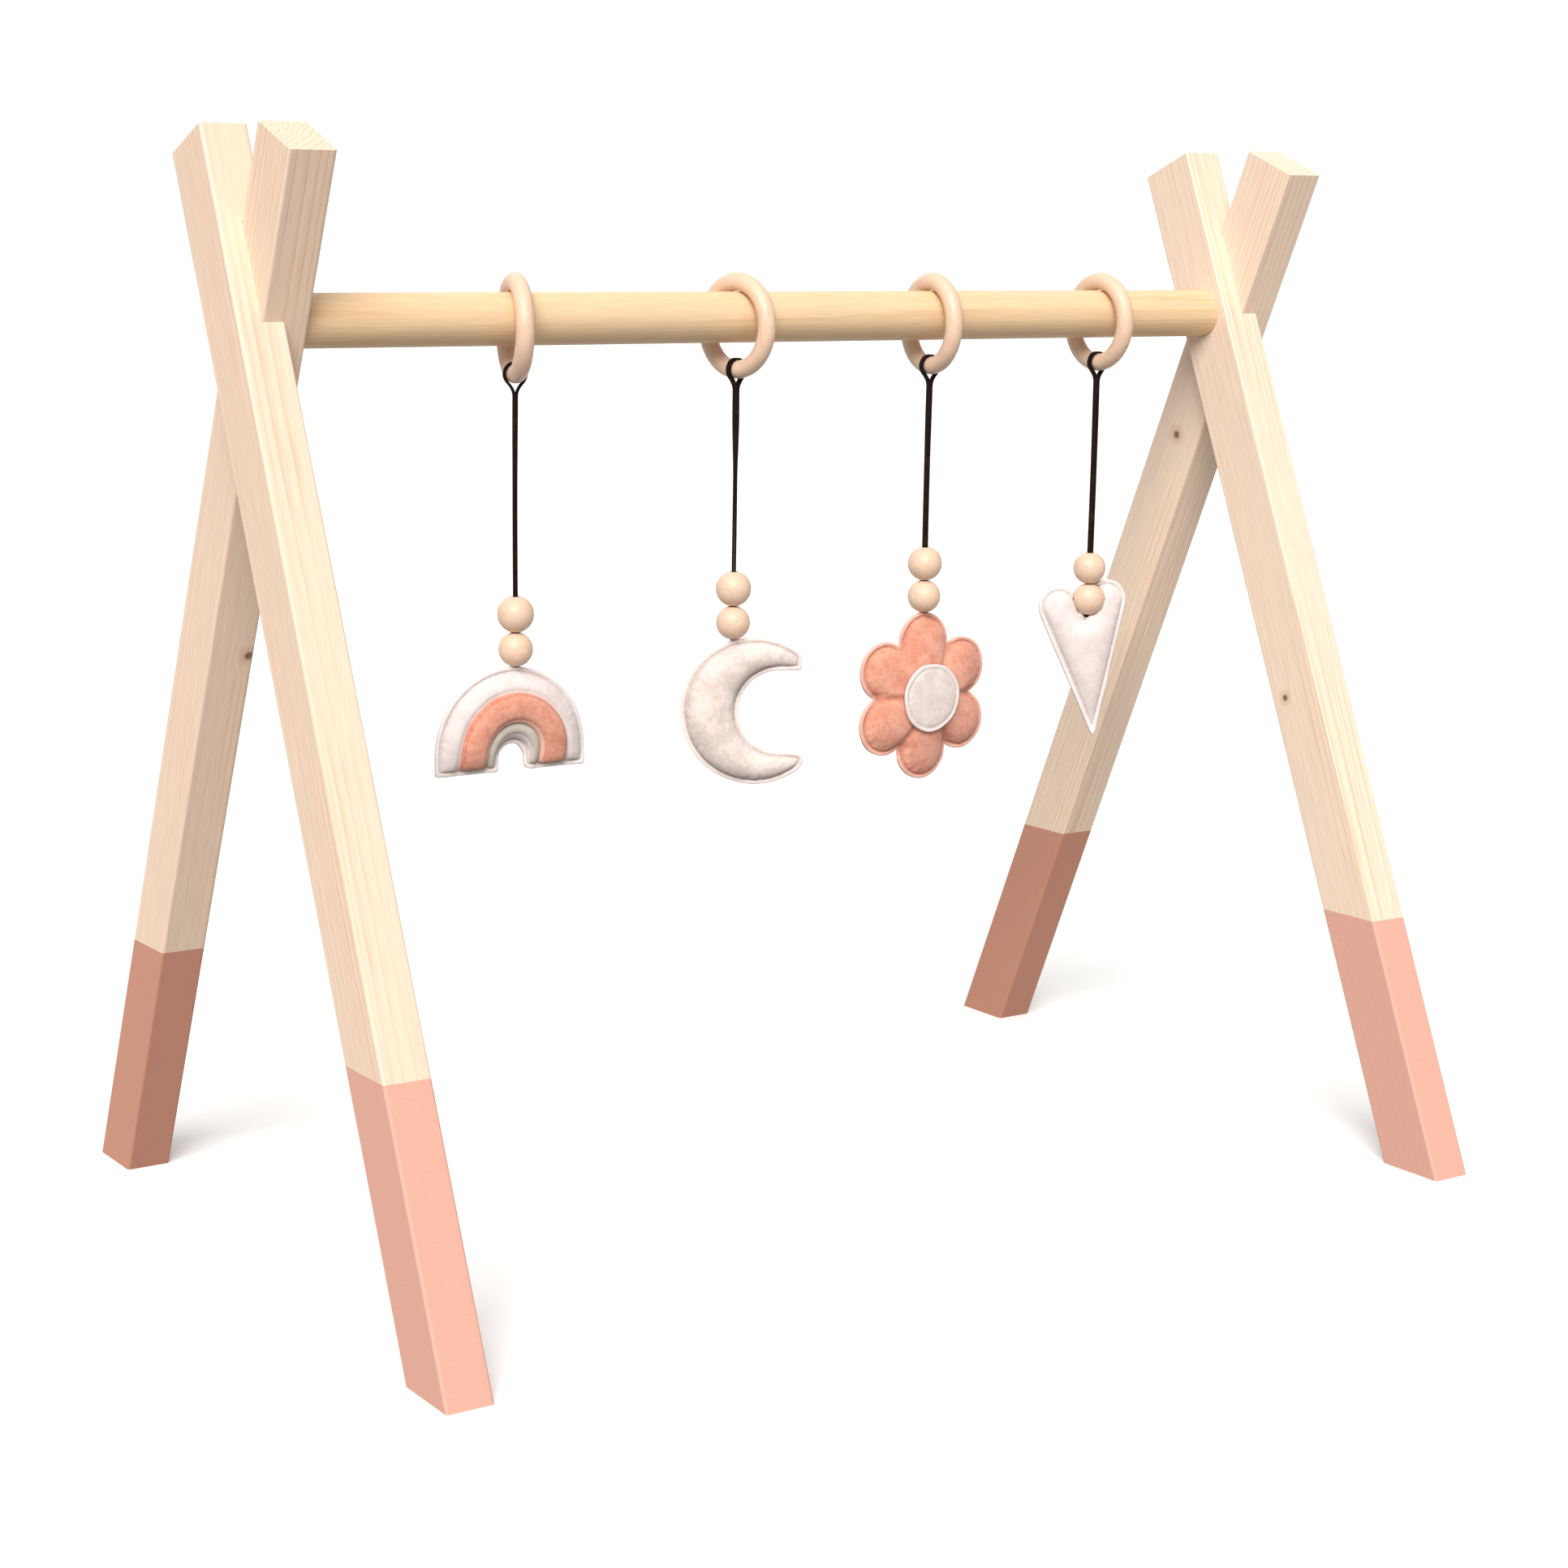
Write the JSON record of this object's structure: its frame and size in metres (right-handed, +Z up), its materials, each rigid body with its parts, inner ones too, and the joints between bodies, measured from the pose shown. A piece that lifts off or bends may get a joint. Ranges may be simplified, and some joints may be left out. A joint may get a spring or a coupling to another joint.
{
  "type": "activity play gym",
  "caption": "Free-standing wooden baby play gym: crossed-leg side frames, a round crossbar, and rings on it that carry laces, beads and soft felt toys.",
  "frame": {"origin": "on the floor, under the middle of the crossbar", "axes": "+X along the crossbar from the left frame to the right one, -Y towards the front, +Z up"},
  "size_m": [0.696, 0.4554, 0.5918],
  "materials": {
    "pine_leg": "planed pine with eased edges, lower ends dipped in matt dusty pink paint up to 144 mm",
    "pine_bar": "sanded round pine dowel, bare",
    "beech": "turned and sanded beech, bare",
    "suede_lace": "flat dark brown suede lace, napped",
    "white_felt": "soft craft felt, off-white",
    "coral_felt": "soft craft felt, coral pink",
    "grey_felt": "mottled craft felt, pale warm grey",
    "beige_felt": "craft felt, grey beige",
    "filling": "loose polyester fibre",
    "zinc_steel": "zinc plated",
    "brass": "turned brass"
  },
  "bodies": {
    "frame": {"left_front_leg": "pine_leg", "left_back_leg": "pine_leg", "right_front_leg": "pine_leg", "right_back_leg": "pine_leg", "crossbar": "pine_bar", "left_stud": "zinc_steel", "right_stud": "zinc_steel", "left_insert": "brass", "right_insert": "brass"},
    "rainbow_ring": {"rainbow_ring": "beech"},
    "rainbow_loop": {"rainbow_lace_loop": "suede_lace"},
    "rainbow_strands": {"rainbow_lace_strands": "suede_lace"},
    "rainbow_lower_bead": {"rainbow_lower_bead": "beech"},
    "rainbow_upper_bead": {"rainbow_upper_bead": "beech"},
    "rainbow_toy": {"rainbow_front_felt": "white_felt", "rainbow_back_felt": "white_felt", "rainbow_filling": "filling", "rainbow_coral_band": "coral_felt", "rainbow_inner_band": "beige_felt"},
    "moon_ring": {"moon_ring": "beech"},
    "moon_loop": {"moon_lace_loop": "suede_lace"},
    "moon_strands": {"moon_lace_strands": "suede_lace"},
    "moon_lower_bead": {"moon_lower_bead": "beech"},
    "moon_upper_bead": {"moon_upper_bead": "beech"},
    "moon_toy": {"moon_front_felt": "grey_felt", "moon_back_felt": "grey_felt", "moon_filling": "filling"},
    "flower_ring": {"flower_ring": "beech"},
    "flower_loop": {"flower_lace_loop": "suede_lace"},
    "flower_strands": {"flower_lace_strands": "suede_lace"},
    "flower_lower_bead": {"flower_lower_bead": "beech"},
    "flower_upper_bead": {"flower_upper_bead": "beech"},
    "flower_toy": {"flower_front_felt": "coral_felt", "flower_back_felt": "coral_felt", "flower_filling": "filling", "flower_disc": "grey_felt"},
    "heart_ring": {"heart_ring": "beech"},
    "heart_loop": {"heart_lace_loop": "suede_lace"},
    "heart_strands": {"heart_lace_strands": "suede_lace"},
    "heart_lower_bead": {"heart_lower_bead": "beech"},
    "heart_upper_bead": {"heart_upper_bead": "beech"},
    "heart_toy": {"heart_front_felt": "white_felt", "heart_back_felt": "white_felt", "heart_filling": "filling"}
  },
  "joints": [
    {"name": "rainbow_ring_slide", "type": "slide", "parent": "frame", "child": "rainbow_ring", "axis": [1, 0, 0], "range_m": [-0.04, 0.04]},
    {"name": "rainbow_loop_swing", "type": "hinge", "parent": "rainbow_ring", "child": "rainbow_loop", "pos_m": [-0.1793, 0, 0.4903], "axis": [0.9563, -0.2924, 0], "range_deg": [-30, 30]},
    {"name": "rainbow_side_swing", "type": "hinge", "parent": "rainbow_loop", "child": "rainbow_strands", "pos_m": [-0.1793, 0, 0.451], "axis": [0.2924, 0.9563, 0], "range_deg": [-12, 12]},
    {"name": "rainbow_lower_bead_slide", "type": "slide", "parent": "rainbow_strands", "child": "rainbow_lower_bead", "axis": [0, 0, 1], "range_m": [0, 0.045]},
    {"name": "rainbow_upper_bead_slide", "type": "slide", "parent": "rainbow_lower_bead", "child": "rainbow_upper_bead", "axis": [0, 0, 1], "range_m": [0, 0.045]},
    {"name": "rainbow_toy_turn", "type": "hinge", "parent": "rainbow_strands", "child": "rainbow_toy", "pos_m": [-0.1793, 0, 0.3], "axis": [0, 0, 1], "range_deg": [-180, 180]},
    {"name": "moon_ring_slide", "type": "slide", "parent": "frame", "child": "moon_ring", "axis": [1, 0, 0], "range_m": [-0.04, 0.04]},
    {"name": "moon_loop_swing", "type": "hinge", "parent": "moon_ring", "child": "moon_loop", "pos_m": [-0.0378, 0, 0.4903], "axis": [0.9877, 0.1564, 0], "range_deg": [-30, 30]},
    {"name": "moon_side_swing", "type": "hinge", "parent": "moon_loop", "child": "moon_strands", "pos_m": [-0.0378, 0, 0.451], "axis": [-0.1564, 0.9877, 0], "range_deg": [-12, 12]},
    {"name": "moon_lower_bead_slide", "type": "slide", "parent": "moon_strands", "child": "moon_lower_bead", "axis": [0, 0, 1], "range_m": [0, 0.045]},
    {"name": "moon_upper_bead_slide", "type": "slide", "parent": "moon_lower_bead", "child": "moon_upper_bead", "axis": [0, 0, 1], "range_m": [0, 0.045]},
    {"name": "moon_toy_turn", "type": "hinge", "parent": "moon_strands", "child": "moon_toy", "pos_m": [-0.0378, 0, 0.3], "axis": [0, 0, 1], "range_deg": [-180, 180]},
    {"name": "flower_ring_slide", "type": "slide", "parent": "frame", "child": "flower_ring", "axis": [1, 0, 0], "range_m": [-0.04, 0.04]},
    {"name": "flower_loop_swing", "type": "hinge", "parent": "flower_ring", "child": "flower_loop", "pos_m": [0.098, 0, 0.4903], "axis": [0.9962, -0.0872, 0], "range_deg": [-30, 30]},
    {"name": "flower_side_swing", "type": "hinge", "parent": "flower_loop", "child": "flower_strands", "pos_m": [0.098, 0, 0.451], "axis": [0.0872, 0.9962, 0], "range_deg": [-12, 12]},
    {"name": "flower_lower_bead_slide", "type": "slide", "parent": "flower_strands", "child": "flower_lower_bead", "axis": [0, 0, 1], "range_m": [0, 0.045]},
    {"name": "flower_upper_bead_slide", "type": "slide", "parent": "flower_lower_bead", "child": "flower_upper_bead", "axis": [0, 0, 1], "range_m": [0, 0.045]},
    {"name": "flower_toy_turn", "type": "hinge", "parent": "flower_strands", "child": "flower_toy", "pos_m": [0.098, 0, 0.3], "axis": [0, 0, 1], "range_deg": [-180, 180]},
    {"name": "heart_ring_slide", "type": "slide", "parent": "frame", "child": "heart_ring", "axis": [1, 0, 0], "range_m": [-0.04, 0.04]},
    {"name": "heart_loop_swing", "type": "hinge", "parent": "heart_ring", "child": "heart_loop", "pos_m": [0.2254, 0, 0.4903], "axis": [0.9997, -0.0262, 0], "range_deg": [-30, 30]},
    {"name": "heart_side_swing", "type": "hinge", "parent": "heart_loop", "child": "heart_strands", "pos_m": [0.2254, 0, 0.451], "axis": [0.0262, 0.9997, 0], "range_deg": [-12, 12]},
    {"name": "heart_lower_bead_slide", "type": "slide", "parent": "heart_strands", "child": "heart_lower_bead", "axis": [0, 0, 1], "range_m": [0, 0.045]},
    {"name": "heart_upper_bead_slide", "type": "slide", "parent": "heart_lower_bead", "child": "heart_upper_bead", "axis": [0, 0, 1], "range_m": [0, 0.045]},
    {"name": "heart_toy_turn", "type": "hinge", "parent": "heart_strands", "child": "heart_toy", "pos_m": [0.2254, 0, 0.3], "axis": [0, 0, 1], "range_deg": [-180, 180]}
  ]
}
